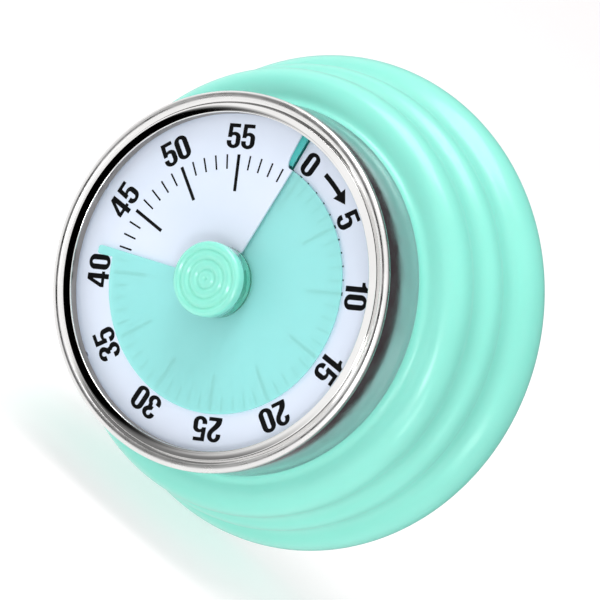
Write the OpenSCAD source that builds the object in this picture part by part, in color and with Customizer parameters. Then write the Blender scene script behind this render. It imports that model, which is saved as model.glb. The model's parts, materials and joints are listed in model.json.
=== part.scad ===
// Wind-up kitchen timer with a magnetic back.
// Inside each module the timer lies on its back: z runs from the back face to the knob,
// y runs to the 0 mark. Angles called "turn" run clockwise from the 0 mark, seen from the front.

/* [Body] */
// Largest outside diameter, at the back wave
body_d = 88.2; // [84:0.1:110]
// Height of the moulded body, from the back face to the steel band
body_h = 29.8; // [29:0.1:38]
// Gap between the back face and the plastic, which the rubber and magnets stand proud by
foot_gap = 0.3; // [0.2:0.1:0.6]
// Outside diameter of the steel band
band_d = 64.6; // [60:0.1:80]
// Wall of the steel band
band_wall = 0.5; // [0.4:0.1:0.8]
// Length of the steel band
band_len = 10.9; // [10:0.1:14]

/* [Back] */
// Diameter of the opening in the back
back_opening_d = 74.4; // [72:0.1:76]
// Thickness of the back cover
cover_t = 2.2; // [1.8:0.1:3]
// Diameter of each magnet
magnet_d = 13; // [10:0.5:14]
// Thickness of each magnet
magnet_t = 3; // [2:0.1:4]
// Number of magnets, and of cover screws between them
back_count = 3; // [3:1:4]

/* [Bezel and dial] */
// How far the rolled rim stands out past the band
rim_over = 0.2; // [0:0.05:0.6]
// Width of the bezel, from the rim's outside to the opening that shows the dial
bezel_w = 3.7; // [3:0.1:5]
// Thickness of the dial plate
dial_t = 0.4; // [0.3:0.05:0.6]
// Width of the ring of numbers round the time film
number_ring_w = 6.4; // [5:0.1:9]
// Thickness of the time film
film_t = 0.25; // [0.2:0.05:0.4]
// Gap between the film and the dial, on each side
film_gap = 0.4; // [0.3:0.05:0.6]
// Minutes shown
set_minutes = 41.7; // [10:0.1:55]

/* [Knob] */
// Diameter of the knob cap
knob_d = 12.8; // [11:0.1:16]
// Thickness of the knob cap
knob_t = 2; // [1.6:0.1:3]
// Length of the clear barrel below the cap
barrel_len = 3.2; // [3:0.1:6]

/* [Movement] */
// Thickness of each movement plate
plate_t = 1.2; // [1:0.1:1.6]
// Diameter of the main arbor
arbor_d = 4; // [3.6:0.1:4.4]
// Diameter of the thin arbors
thin_arbor_d = 1.6; // [1.4:0.1:2]
// Diameter of the pivots at their ends
pivot_d = 1; // [0.8:0.1:1.2]

/* [Fits] */
// Radial clearance of a shaft in its bearing
run_fit = 0.05; // [0.02:0.01:0.1]
// Clearance between fixed pieces that slip together
slip_fit = 0.1; // [0.05:0.05:0.3]

/* [Hidden] */
$fn = 96;

mint = [0.62, 0.95, 0.87];
steel = [0.80, 0.81, 0.82];
brass = [0.80, 0.66, 0.36];
dark_steel = [0.42, 0.43, 0.45];

// Outline of the body, each centre as [radius, height]
band_r = band_d / 2;
swell = body_d / 2 - band_r;
neck_r = band_r + slip_fit;
back_wave_r = 0.191 * body_h;
mid_wave_r = 0.117 * body_h;
front_wave_r = 0.151 * body_h;
back_wave = [body_d / 2 - back_wave_r, foot_gap + back_wave_r];
mid_wave = [band_r + 0.74 * swell - mid_wave_r, 0.54 * body_h];
front_wave = [band_r + 0.577 * swell - front_wave_r, 0.8 * body_h];
groove_r = 4;
neck_inset = neck_r - front_wave[0];
neck_rise = body_h - front_wave[1];
neck_fillet_r = (neck_rise * neck_rise + neck_inset * neck_inset - front_wave_r * front_wave_r)
    / (2 * (front_wave_r - neck_inset));
wall = 2.6;
mouth_lip = 0.9;

// Back
cover_r = back_opening_d / 2 - slip_fit;
cover_top = foot_gap + cover_t;
grip_out_r = cover_r - 0.7;
grip_in_r = grip_out_r - 1.8;
grip_t = 1.2;
magnet_ring_r = grip_in_r - magnet_d / 2 - 1.6;
pocket_wall = 1.4;
pocket_roof = 1.1;
pocket_top = magnet_t + slip_fit + pocket_roof;
screw_ring_r = grip_in_r - 3.1;
screw_d = 2.2;
screw_head_d = 4.6;
screw_head_t = 1.1;
screw_sink = 1.3;
screw_len = 5;
boss_d = 6;
boss_len = 6;
rib_w = 2;
rib_h = 3;
rib_out_r = body_d / 2 - wall + 0.5;

// Front stack
spigot_r = band_r - band_wall - slip_fit;
spigot_wall = 2.1;
spigot_len = 4.8;
carrier_z = body_h + spigot_len;
carrier_t = 1.6;
carrier_top = carrier_z + carrier_t;
pitch = dial_t + film_t + 2 * film_gap;
under_gap = 0.7;
dial_z = carrier_top + under_gap + pitch - dial_t - film_gap;
rim_d = band_d + 2 * rim_over;
view_r = rim_d / 2 - bezel_w;
dial_rim_r = spigot_r - 0.7;
dial_hole_r = 5.3;
film_r = view_r - number_ring_w;
film_z = dial_z + dial_t + film_gap;
dial_top = dial_z + pitch + dial_t;
lip_gap = 0.33;
lip_z = dial_top + lip_gap;
lip_t = 0.55;
skirt_wall = 0.45;
rim_roll_r = 0.9;
rim_rise = 1.45;
rim_z = lip_z + rim_rise;
groove_z = rim_z + 0.44;
groove_w = 0.25;
face_r = rim_d / 2 - 2.1;
face_z = rim_z + 0.77;
face_dish = 0.25;
face_edge = 0.15;
face_t = 0.42;
boss_ring_r = (view_r + dial_rim_r) / 2;
rivet_turns = [30, 90, 150, 210, 270, 330];
rivet_d = 0.9;
rivet_boss_d = 1.8;
rivet_head_t = 0.3;

// Slot in the dial, in turns: it opens through the ring of numbers, just before the 0
slot_from = 354.1;
slot_to = 356.6;
slot_end = 358;
slot_bottom_r = film_r + 0.4;

// Film
set_turn = 6 * set_minutes;
film_span = 354;
film_step = 3;
tab_turn = 3.6;
tab_r = view_r - 3.3;
hub_r = 4.6;
hub_margin = 0.55;
hub_z = film_z - pitch * (film_span - set_turn) / 360 - hub_margin;
hub_len = 3.2;

// Knob
barrel_gap = 0.35;
barrel_z = film_z + pitch + film_t + barrel_gap;
barrel_r = knob_d / 2 - 0.2;
barrel_wall = 1.2;
cap_z = barrel_z + barrel_len;
cap_top = cap_z + knob_t;
cap_edge_r = 0.7;
stem_r = 3.4;
stem_len = 1.3;
ridge_r = 0.36;
ridge_count = 3;
ridge_step = 0.26 * knob_d / 2;
dimple_r = 0.9;
socket_len = 0.8;

// Movement levels, which share out the height between the plates
plate_d = 2 * (spigot_r - spigot_wall - 3.6);
plate_space = body_h - 11.8;
level = plate_space / 18;
front_plate_z = body_h - 0.6;
rear_plate_z = front_plate_z - plate_space - plate_t;
plate_floor = rear_plate_z + plate_t;
front_plate_top = front_plate_z + plate_t;
spring_z = plate_floor + level;
spring_h = 4.8 * level;
great_z = plate_floor + 7 * level;
great_t = 1.2 * level;
third_z = plate_floor + 9.4 * level;
escape_z = plate_floor + 11.6 * level;
escape_t = 0.6 * level;
second_z = plate_floor + 12.8 * level;
pallet_z = plate_floor + 12.8 * level;
pallet_t = 0.7 * level;
cam_z = plate_floor + 15.1 * level;
cam_t = 1.4 * level;
wheel_t = 0.8 * level;
pinion_len = 2.2 * level;
end_play = 0.15;
arbor_pivot_d = 2.6;
collar_d = 8;
collar_t = 0.8 * level;
cam_seat_d = 7;
cam_seat_t = 0.6 * level;

// Gears, whose size follows the plates
reach = plate_d / 52;
pressure = 25;
backlash = 0.09;
great_teeth = 60;
wheel_teeth = 48;
pinion_teeth = 12;
coarse = 0.5 * reach;
fine = 0.4 * reach;
first_gap = coarse * (great_teeth + pinion_teeth) / 2;
later_gap = fine * (wheel_teeth + pinion_teeth) / 2;
second_dir = 205;
third_dir = -48;
escape_dir = -8;
pallet_dir = 30;
second_at = first_gap * [cos(second_dir), sin(second_dir)];
third_at = second_at + later_gap * [cos(third_dir), sin(third_dir)];
escape_at = third_at + later_gap * [cos(escape_dir), sin(escape_dir)];
escape_r = 5 * reach;
escape_teeth = 20;
spoke_w = 1.6;
great_hub_d = 11;
wheel_hub_d = 5;
clutch_t = 0.4 * level;
pallet_gap = 7.4 * reach;
pallet_at = escape_at + pallet_gap * [cos(pallet_dir), sin(pallet_dir)];
pallet_pin_d = 0.6;
pallet_clear = 0.42 * reach;
pallet_spread = 52;
pallet_w = 1.5;
pallet_arm = 4.2;

// Plates, pillars, screws and mainspring
window_dirs = [60, 120];
window_d = 6 * reach;
pillar_ring_r = plate_d / 2 - 2.8;
pillar_dirs = [30, 150, 335];
pillar_d = 3.2;
pillar_end_d = 2;
nut_d = 4.4;
nut_t = 1.4;
post_ring_r = plate_d / 2 - 4.5;
post_dirs = [5, 95, 183, 263];
post_d = 5;
post_screw_d = 1.8;
post_head_d = 3.6;
post_head_t = 1;
post_screw_len = 4;
spring_in_r = arbor_d / 2 + 0.35;
spring_out_r = 12.2 * reach;
spring_turns = 6.5;
spring_strip = 0.35;
spring_post_dir = 100;
spring_post_d = 1.4;
spring_pin_d = 1;
spring_post_r = spring_out_r + spring_strip + spring_post_d / 2;

// Bell and hammer
bell_at = reach * [3, -4];
bell_z = pocket_top + 0.4;
bell_d = 32 * reach;
bell_t = 0.8;
bell_h = rear_plate_z - bell_z - 0.6;
bell_bend_r = 2.4;
bell_post_d = 4;
bell_pin_d = 2;
bell_thread_d = 1.2;
bell_thread_len = 2.8;
bell_head_d = 4.4;
bell_head_t = 0.9;
hammer_at = reach * [-12.5, 13.5];
hammer_z = bell_z + 1.4;
hammer_t = 1;
hammer_w = 1.8;
hammer_hub_d = 3.4;
hammer_pin_d = 1.6;
hammer_head_r = 2.2;
hammer_gap = 0.9;
hammer_dir = 80;
hammer_to = bell_at + (bell_d / 2 + hammer_head_r + hammer_gap) * [cos(hammer_dir), sin(hammer_dir)];
cam_r = 6;
cam_notch_w = 2.2;
cam_notch_depth = 1;
tail_dir = 94;
tail_tip_r = 0.8;
tail_gap = 0.9;
tail_to = (cam_r + tail_tip_r + tail_gap) * [cos(tail_dir), sin(tail_dir)];
coil_r = 1.5;
coil_wire_r = 0.2;
coil_turns = 4;

// Stands the timer up: the dial faces the front and the 0 mark is at the top
module upright() {
    rotate([90, 0, 0]) children();
}

// A cylinder from one height to another
module rod(d, from, to) {
    translate([0, 0, from]) cylinder(d = d, h = to - from);
}

// The same thing at every direction of a list, on a circle
module around(dirs, r) {
    for (a = dirs) {
        rotate([0, 0, a]) translate([r, 0, 0]) children();
    }
}

function even_dirs(n, first) = [for (i = [0:n - 1]) first + i * 360 / n];

// Centre of the round groove that touches two waves from outside
function groove_centre(a, ra, b, rb, f) =
    let (d = norm(b - a))
    let (u = (b - a) / d)
    let (s = ((ra + f) * (ra + f) - (rb + f) * (rb + f) + d * d) / (2 * d))
    let (h = sqrt((ra + f) * (ra + f) - s * s))
    a + u * s + h * [u[1], -u[0]];

// The web between two waves, hollowed by a groove
module groove_web(a, ra, b, rb) {
    c = groove_centre(a, ra, b, rb, groove_r);
    difference() {
        polygon([a, c, b]);
        translate(c) circle(r = groove_r);
    }
}

module wave(centre, r) {
    translate(centre) circle(r = r);
}

module body_outline() {
    neck_centre = [neck_r + neck_fillet_r, body_h];
    polygon([
        [0, foot_gap], [back_wave[0], foot_gap], back_wave, mid_wave, front_wave,
        [neck_r, body_h], [0, body_h]
    ]);
    wave(back_wave, back_wave_r);
    wave(mid_wave, mid_wave_r);
    wave(front_wave, front_wave_r);
    groove_web(back_wave, back_wave_r, mid_wave, mid_wave_r);
    groove_web(mid_wave, mid_wave_r, front_wave, front_wave_r);
    difference() {
        polygon([[neck_r - 1, front_wave[1]], front_wave, neck_centre, [neck_r - 1, body_h]]);
        translate(neck_centre) circle(r = neck_fillet_r);
    }
}

module body_hollow() {
    opening_r = back_opening_d / 2;
    mouth_r = spigot_r - spigot_wall;
    polygon([
        [0, -1],
        [opening_r, -1],
        [opening_r, cover_top + 0.4],
        [back_wave[0] + back_wave_r - wall, back_wave[1] - 0.6],
        [back_wave[0] + back_wave_r - wall, back_wave[1] + 1],
        [mid_wave[0] + mid_wave_r - wall - 0.3, mid_wave[1] - 3.8],
        [mid_wave[0] + mid_wave_r - wall - 0.3, mid_wave[1] + 0.3],
        [front_wave[0] + front_wave_r - wall - 0.3, front_wave[1] - 3.8],
        [front_wave[0] + front_wave_r - wall - 0.3, front_wave[1] + 0.8],
        [mouth_r, body_h - mouth_lip],
        [mouth_r, body_h + spigot_len + 1],
        [0, body_h + spigot_len + 1]
    ]);
}

// The ribbed shell, with the spigot that carries the band and bosses for the cover screws
module body_shell() {
    dirs = even_dirs(back_count, 30);
    color(mint) upright() {
        difference() {
            union() {
                rotate_extrude() body_outline();
                rod(2 * spigot_r, body_h - 1, carrier_z);
            }
            rotate_extrude() body_hollow();
        }
        around(dirs, screw_ring_r) {
            difference() {
                union() {
                    rod(boss_d, cover_top, cover_top + boss_len);
                    translate([0, -rib_w / 2, cover_top + boss_len - rib_h]) {
                        cube([rib_out_r - screw_ring_r, rib_w, rib_h]);
                    }
                }
                rod(screw_d, cover_top - 1, cover_top + screw_len);
            }
        }
    }
}

module back_cover() {
    color(mint) upright() difference() {
        union() {
            rod(2 * cover_r, foot_gap, cover_top);
            around(even_dirs(back_count, 90), magnet_ring_r) {
                rod(magnet_d + 2 * pocket_wall, foot_gap, pocket_top);
            }
        }
        around(even_dirs(back_count, 90), magnet_ring_r) {
            rod(magnet_d + 2 * slip_fit, 0, magnet_t);
        }
        around(even_dirs(back_count, 30), screw_ring_r) {
            rod(screw_d, 0, cover_top + 1);
            rod(screw_head_d + 2 * slip_fit, 0, foot_gap + screw_sink);
        }
        difference() {
            rod(2 * grip_out_r, 0, grip_t);
            rod(2 * grip_in_r, -1, grip_t + 1);
        }
    }
}

module grip_ring() {
    color([0.25, 0.27, 0.28]) upright() difference() {
        rod(2 * grip_out_r, 0, grip_t);
        rod(2 * grip_in_r, -1, grip_t + 1);
    }
}

module magnets() {
    color(dark_steel) upright() around(even_dirs(back_count, 90), magnet_ring_r) {
        rod(magnet_d, 0, magnet_t);
    }
}

// A screw along +z from the underside of its head, with a cross recess in the head
module screw(d, head_d, head_t, len) {
    difference() {
        union() {
            rod(head_d, -head_t, 0);
            rod(d, 0, len);
        }
        for (a = [0, 90]) {
            translate([0, 0, -head_t]) rotate([0, 0, a]) {
                cube([head_d * 0.6, head_d * 0.14, head_t], center = true);
            }
        }
    }
}

module cover_screws() {
    seat = foot_gap + screw_sink;
    color(steel) upright() around(even_dirs(back_count, 30), screw_ring_r) {
        translate([0, 0, seat]) screw(screw_d, screw_head_d, screw_head_t, cover_top + screw_len - seat);
    }
}

module steel_band() {
    color(steel) upright() difference() {
        rod(band_d, body_h, body_h + band_len);
        rod(band_d - 2 * band_wall, body_h - 1, body_h + band_len + 1);
    }
}

// The rolled rim, the dished face inside it, the wall down to the dial, and the skirt in the band
module bezel_ring() {
    skirt_r = spigot_r;
    roll_at = rim_d / 2 - rim_roll_r;
    band_top = body_h + band_len;
    color(steel) upright() rotate_extrude() {
        polygon([
            [skirt_r - skirt_wall, carrier_top + 0.2],
            [skirt_r, carrier_top + 0.2],
            [skirt_r, rim_z],
            [roll_at - rim_roll_r * 0.8, groove_z],
            [face_r + groove_w, groove_z],
            [face_r, face_z],
            [view_r + face_edge, face_z - face_dish],
            [view_r, face_z - face_dish - face_edge],
            [view_r, lip_z],
            [view_r + lip_t, lip_z],
            [view_r + lip_t, groove_z - face_t],
            [skirt_r - skirt_wall, groove_z - face_t]
        ]);
        difference() {
            translate([roll_at, rim_z]) circle(r = rim_roll_r);
            translate([skirt_r, band_top - 2]) square([rim_d, 2]);
        }
    }
}

// Top of the dial seat at a turn
function seat_z(turn) = dial_z + pitch * (turn - asin(rivet_boss_d / 2 / boss_ring_r)) / 360;

// A plastic disc on the spigot: it holds the dial in front and the movement behind
module dial_carrier() {
    color([0.40, 0.80, 0.76]) upright() difference() {
        union() {
            rod(2 * spigot_r, carrier_z, carrier_top);
            around(post_dirs, post_ring_r) {
                rod(post_d, front_plate_top, carrier_z + 0.5);
            }
            for (turn = rivet_turns) {
                rotate([0, 0, 90 - turn]) translate([boss_ring_r, 0, 0]) {
                    rod(rivet_boss_d, carrier_top - 0.5, seat_z(turn));
                }
            }
        }
        rod(arbor_d + 1, 0, carrier_top + 1);
        around(post_dirs, post_ring_r) {
            rod(post_screw_d, front_plate_top - 1, front_plate_z + post_screw_len + 0.4);
        }
        for (turn = rivet_turns) {
            rotate([0, 0, 90 - turn]) translate([boss_ring_r, 0, 0]) {
                rod(rivet_d, carrier_top - 0.4, carrier_top + 5);
            }
        }
    }
}

// A thin sheet that climbs like a spiral stair. Each station is [turn, outer radius].
module stair_sheet(stations, r_in, z_at_0, t) {
    last = len(stations) - 1;
    points = [
        for (s = stations)
            let (z = z_at_0 + pitch * s[0] / 360)
            for (q = [[r_in, z], [s[1], z], [s[1], z + t], [r_in, z + t]])
                [q[0] * sin(s[0]), q[0] * cos(s[0]), q[1]]
    ];
    sides = [
        for (i = [0:last - 1], k = [0:3])
            let (a = 4 * i + k)
            let (b = 4 * i + (k + 1) % 4)
            for (f = [[a, a + 4, b], [b, a + 4, b + 4]]) f
    ];
    first_end = [0, 1, 2, 3];
    last_end = [for (k = [3:-1:0]) 4 * last + k];
    polyhedron(points, concat(sides, [first_end, last_end]));
}

// The dial: one turn of the stair. It starts at the far side of the slot, and its end laps over its start.
module dial_plate() {
    stations = concat(
        [for (turn = [slot_to - 360:film_step:slot_from - 0.6]) [turn, dial_rim_r]],
        [[slot_from, dial_rim_r], [slot_from + 0.2, slot_bottom_r + 0.6]],
        [[slot_from + 0.9, slot_bottom_r], [slot_end, slot_bottom_r]]
    );
    color([0.95, 0.96, 0.98]) upright() difference() {
        stair_sheet(stations, dial_hole_r, dial_z, dial_t);
        for (turn = rivet_turns) {
            rotate([0, 0, 90 - turn]) translate([boss_ring_r, 0, dial_z - 1]) cylinder(d = rivet_d, h = 5);
        }
    }
}

module dial_rivets() {
    color(steel) upright() for (turn = rivet_turns) {
        top = dial_z + dial_t + pitch * (turn + asin(rivet_d / boss_ring_r)) / 360;
        rotate([0, 0, 90 - turn]) translate([boss_ring_r, 0, 0]) {
            rod(rivet_d, carrier_top - 0.4, top + 0.1);
            rod(2 * rivet_d, top, top + rivet_head_t);
        }
    }
}

// The film: the same stair, wound through the slit, with its pointer tab at the leading edge
module time_film() {
    start = set_turn - film_span;
    tab_from = set_turn - tab_turn;
    stations = concat(
        [for (turn = [start:film_step:tab_from - 0.6]) [turn, film_r]],
        [[tab_from - 0.4, film_r], [tab_from, tab_r - 0.8], [tab_from + 0.8, tab_r]],
        [[set_turn - 0.8, tab_r], [set_turn, tab_r - 0.8]]
    );
    color([0.60, 0.92, 0.88, 0.8]) upright() stair_sheet(stations, hub_r, film_z, film_t);
}

// Round shaft with two flats, or the bore that it drives
module flatted(d, from, to, gap = 0) {
    intersection() {
        rod(d + 2 * gap, from, to);
        translate([-d, -0.39 * d - gap, from]) cube([2 * d, 0.78 * d + 2 * gap, to - from]);
    }
}

module film_hub() {
    color(mint) upright() difference() {
        rod(2 * hub_r, hub_z, hub_z + hub_len);
        flatted(arbor_d, hub_z - 1, hub_z + hub_len + 1, run_fit);
    }
}

module knob_cap() {
    r = knob_d / 2;
    color(mint) upright() difference() {
        union() {
            rotate_extrude() {
                square([r - cap_edge_r, cap_top]);
                translate([0, cap_z]) square([r, knob_t - cap_edge_r]);
                translate([r - cap_edge_r, cap_top - cap_edge_r]) circle(r = cap_edge_r);
            }
        }
        difference() {
            rod(knob_d + 2, 0, cap_z);
            rod(2 * stem_r, cap_z - stem_len, cap_z + 1);
        }
        rod(2 * stem_r + 2, 0, cap_z - stem_len);
        rod(arbor_d, 0, cap_z + socket_len);
        for (i = [1:ridge_count]) {
            rotate_extrude() translate([i * ridge_step, cap_top]) circle(r = ridge_r, $fn = 24);
        }
        translate([0, 0, cap_top + dimple_r / 2]) sphere(r = dimple_r, $fn = 32);
    }
}

module knob_barrel() {
    color([0.92, 0.97, 0.98, 0.5]) upright() difference() {
        rod(2 * barrel_r, barrel_z, cap_z);
        rod(2 * (barrel_r - barrel_wall), barrel_z - 1, cap_z + 1);
    }
}

module main_arbor() {
    color(steel) upright() difference() {
        union() {
            rod(arbor_pivot_d, rear_plate_z + end_play, plate_floor + end_play);
            rod(arbor_d, plate_floor + end_play, cap_z + socket_len);
            rod(collar_d, great_z - collar_t, great_z);
            rod(cam_seat_d, cam_z - cam_seat_t, cam_z);
        }
        difference() {
            rod(arbor_d + 1, carrier_top, cap_z - stem_len);
            flatted(arbor_d, carrier_top - 1, cap_z);
        }
    }
}

// Point of an involute at a radius, turned off the tooth's centre by its half thickness
function flank(r, base_r, half) =
    let (roll = sqrt(max(0, r * r / (base_r * base_r) - 1)))
    let (a = half - (roll * 180 / PI - atan(roll)))
    [r, a];

function tooth_points(teeth, m) =
    let (pitch_r = m * teeth / 2)
    let (base_r = pitch_r * cos(pressure))
    let (root_r = pitch_r - 1.2 * m)
    let (tip_r = pitch_r + 0.95 * m)
    let (roll = tan(pressure))
    let (half = 90 / teeth - backlash / pitch_r * 45 / PI + roll * 180 / PI - pressure)
    let (low_r = max(base_r, root_r))
    let (side = [for (k = [0:3]) flank(low_r + (tip_r - low_r) * k / 3, base_r, half)])
    concat([[root_r, side[0][1]]], side);

// A spur gear in the plane, with a tooth centred on direction 0
module gear_outline(teeth, m) {
    side = tooth_points(teeth, m);
    n = len(side) - 1;
    polygon([
        for (i = [0:teeth - 1])
            let (at = i * 360 / teeth)
            for (p = concat([for (k = [0:n]) [side[k][0], -side[k][1]]], [for (k = [n:-1:0]) side[k]]))
                p[0] * [cos(at + p[1]), sin(at + p[1])]
    ]);
}

// A wheel with crossed-out spokes
module wheel(teeth, m, bore_d, t, spokes, hub_d) {
    rim = m * teeth / 2 - 1.2 * m - 1.3;
    difference() {
        linear_extrude(height = t) gear_outline(teeth, m);
        translate([0, 0, -1]) cylinder(d = bore_d, h = t + 2);
        difference() {
            translate([0, 0, -1]) cylinder(r = rim, h = t + 2);
            translate([0, 0, -2]) cylinder(d = hub_d, h = t + 4);
            for (i = [1:spokes]) {
                rotate([0, 0, i * 360 / spokes]) {
                    translate([0, -spoke_w / 2, -2]) cube([rim + 1, spoke_w, t + 4]);
                }
            }
        }
    }
}

module great_wheel() {
    color(brass) upright() translate([0, 0, great_z]) rotate([0, 0, second_dir]) {
        wheel(great_teeth, coarse, arbor_d, great_t, 5, great_hub_d);
    }
}

// Three bent arms that press the great wheel onto its collar, so that the knob can slip when wound
module clutch_spring() {
    color(steel) upright() translate([0, 0, great_z + great_t]) difference() {
        union() {
            cylinder(d = arbor_d + 2.4, h = clutch_t);
            for (i = [0:2]) {
                rotate([0, 0, i * 120]) translate([0, -spoke_w / 2, 0]) {
                    cube([great_hub_d / 2 - 0.5, spoke_w, clutch_t]);
                }
            }
        }
        translate([0, 0, -1]) cylinder(d = arbor_d, h = 3);
    }
}

// The cam lets the hammer go at 0, when its notch meets the release tail
module release_cam() {
    color(brass) upright() translate([0, 0, cam_z]) difference() {
        cylinder(r = cam_r, h = cam_t);
        translate([0, 0, -1]) cylinder(d = arbor_d, h = cam_t + 2);
        rotate([0, 0, tail_dir - set_turn]) translate([cam_r - cam_notch_depth, -cam_notch_w / 2, -1]) {
            cube([2 * cam_notch_depth, cam_notch_w, cam_t + 2]);
        }
    }
}

// A thin arbor between the plates, with a pivot at each end
module thin_arbor(at) {
    translate(at) {
        rod(thin_arbor_d, plate_floor + end_play, front_plate_z - end_play);
        rod(pivot_d, rear_plate_z + end_play, front_plate_top - end_play);
    }
}

// A thin arbor with a pinion whose gap faces the wheel that drives it
module pinion_arbor(at, m, z, toward) {
    thin_arbor(at);
    translate([at[0], at[1], z]) rotate([0, 0, toward + 180 / pinion_teeth]) {
        linear_extrude(height = pinion_len) gear_outline(pinion_teeth, m);
    }
}

module second_arbor() {
    color(steel) upright() {
        pinion_arbor(second_at, coarse, great_z - (pinion_len - great_t) / 2, second_dir + 180);
    }
}

module second_wheel() {
    color(brass) upright() translate([second_at[0], second_at[1], second_z]) rotate([0, 0, third_dir]) {
        wheel(wheel_teeth, fine, thin_arbor_d, wheel_t, 4, wheel_hub_d);
    }
}

module third_arbor() {
    color(steel) upright() {
        pinion_arbor(third_at, fine, second_z - (pinion_len - wheel_t) / 2, third_dir + 180);
    }
}

module third_wheel() {
    color(brass) upright() translate([third_at[0], third_at[1], third_z]) rotate([0, 0, escape_dir]) {
        wheel(wheel_teeth, fine, thin_arbor_d, wheel_t, 4, wheel_hub_d);
    }
}

module escape_arbor() {
    color(steel) upright() {
        pinion_arbor(escape_at, fine, third_z - (pinion_len - wheel_t) / 2, escape_dir + 180);
    }
}

// Pointed teeth that lean the way the wheel turns
module escape_wheel() {
    step = 360 / escape_teeth;
    root_r = escape_r - 1;
    outline = [
        for (i = [0:escape_teeth - 1])
            for (p = [[root_r, 0], [escape_r, step * 0.45], [escape_r, step * 0.6], [root_r, step * 0.62]])
                p[0] * [cos(i * step + p[1]), sin(i * step + p[1])]
    ];
    color(brass) upright() translate([escape_at[0], escape_at[1], escape_z]) difference() {
        linear_extrude(height = escape_t) polygon(outline);
        translate([0, 0, -1]) cylinder(d = thin_arbor_d, h = 3);
        around(even_dirs(4, 45), 0.48 * escape_r) {
            translate([0, 0, -1]) cylinder(r = 0.17 * escape_r, h = 3);
        }
    }
}

module pallet_arbor() {
    color(steel) upright() thin_arbor(pallet_at);
}

// Where each pallet pin stands, beside the escape wheel
function pallet_pin_at(side) =
    let (a = pallet_dir + side * pallet_spread)
    escape_at + (escape_r + pallet_pin_d / 2 + pallet_clear) * [cos(a), sin(a)];

// A flat bar between two points, with round ends
module bar(a, b, w, from, to) {
    along = b - a;
    translate([a[0], a[1], from]) rotate([0, 0, atan2(along[1], along[0])]) {
        translate([0, -w / 2, 0]) cube([norm(along), w, to - from]);
        cylinder(d = w, h = to - from);
    }
    translate([b[0], b[1], from]) cylinder(d = w, h = to - from);
}

module pallet_lever() {
    top = pallet_z + pallet_t;
    out = pallet_at + pallet_arm * [cos(pallet_dir), sin(pallet_dir)];
    color(brass) upright() difference() {
        union() {
            for (side = [-1, 1]) {
                bar(pallet_at, pallet_pin_at(side), pallet_w, pallet_z, top);
            }
            bar(pallet_at, out, pallet_w, pallet_z, top);
            translate(out) rod(2 * pallet_w, pallet_z, top + pallet_t);
            translate(pallet_at) rod(2 * pallet_w, pallet_z, top);
        }
        translate(pallet_at) rod(thin_arbor_d, pallet_z - 1, top + 1);
        for (side = [-1, 1]) {
            translate(pallet_pin_at(side)) rod(pallet_pin_d, pallet_z - 1, top + 1);
        }
    }
}

module pallet_pins() {
    color(steel) upright() for (side = [-1, 1]) {
        translate(pallet_pin_at(side)) rod(pallet_pin_d, escape_z - 0.4 * level, pallet_z + pallet_t);
    }
}

// Holes that both movement plates share
module plate_holes(from, to) {
    for (at = [second_at, third_at, escape_at, pallet_at]) {
        translate(at) rod(pivot_d + 2 * run_fit, from, to);
    }
    around(pillar_dirs, pillar_ring_r) {
        rod(pillar_end_d, from, to);
    }
    around(window_dirs, 0.23 * plate_d) {
        rod(window_d, from, to);
    }
}

module front_plate() {
    color(brass) upright() difference() {
        rod(plate_d, front_plate_z, front_plate_top);
        plate_holes(front_plate_z - 1, front_plate_top + 1);
        rod(arbor_d + 2 * run_fit, front_plate_z - 1, front_plate_top + 1);
        translate(hammer_at) rod(pivot_d + 2 * run_fit, front_plate_z - 1, front_plate_top + 1);
        around(post_dirs, post_ring_r) {
            rod(post_screw_d, front_plate_z - 1, front_plate_top + 1);
        }
    }
}

module rear_plate() {
    color(brass) upright() difference() {
        rod(plate_d, rear_plate_z, plate_floor);
        plate_holes(rear_plate_z - 1, plate_floor + 1);
        rod(arbor_pivot_d + 2 * run_fit, rear_plate_z - 1, plate_floor + 1);
        translate(hammer_at) rod(thin_arbor_d + 2 * run_fit, rear_plate_z - 1, plate_floor + 1);
        translate(bell_at) rod(bell_pin_d, rear_plate_z - 1, plate_floor + 1);
        rotate([0, 0, spring_post_dir]) translate([spring_post_r, 0, 0]) {
            rod(spring_pin_d, rear_plate_z - 1, plate_floor + 1);
        }
    }
}

module plate_pillars() {
    color(steel) upright() around(pillar_dirs, pillar_ring_r) {
        rod(pillar_d, plate_floor, front_plate_z);
        rod(pillar_end_d, rear_plate_z - nut_t, front_plate_top + nut_t);
    }
}

module pillar_nuts() {
    color(steel) upright() around(pillar_dirs, pillar_ring_r) {
        for (z = [rear_plate_z - nut_t, front_plate_top]) {
            difference() {
                translate([0, 0, z]) cylinder(d = nut_d, h = nut_t, $fn = 6);
                rod(pillar_end_d, z - 1, z + nut_t + 1);
            }
        }
    }
}

module movement_screws() {
    color(steel) upright() around(post_dirs, post_ring_r) {
        translate([0, 0, front_plate_z]) screw(post_screw_d, post_head_d, post_head_t, post_screw_len);
    }
}

module spring_post() {
    color(steel) upright() rotate([0, 0, spring_post_dir]) translate([spring_post_r, 0, 0]) {
        rod(spring_pin_d, rear_plate_z, plate_floor);
        rod(spring_post_d, plate_floor, spring_z + spring_h + 0.2);
    }
}

// A flat strip wound in a spiral from the arbor to its post
module mainspring() {
    steps = spring_turns * 30;
    turn_r = [for (i = [0:steps]) spring_in_r + (spring_out_r - spring_in_r) * i / steps];
    turn_a = [for (i = [0:steps]) spring_post_dir - 360 * spring_turns * (1 - i / steps)];
    outline = concat(
        [for (i = [0:steps]) turn_r[i] * [cos(turn_a[i]), sin(turn_a[i])]],
        [for (i = [steps:-1:0]) (turn_r[i] + spring_strip) * [cos(turn_a[i]), sin(turn_a[i])]]
    );
    color(dark_steel) upright() translate([0, 0, spring_z]) {
        linear_extrude(height = spring_h) polygon(outline);
    }
}

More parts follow.
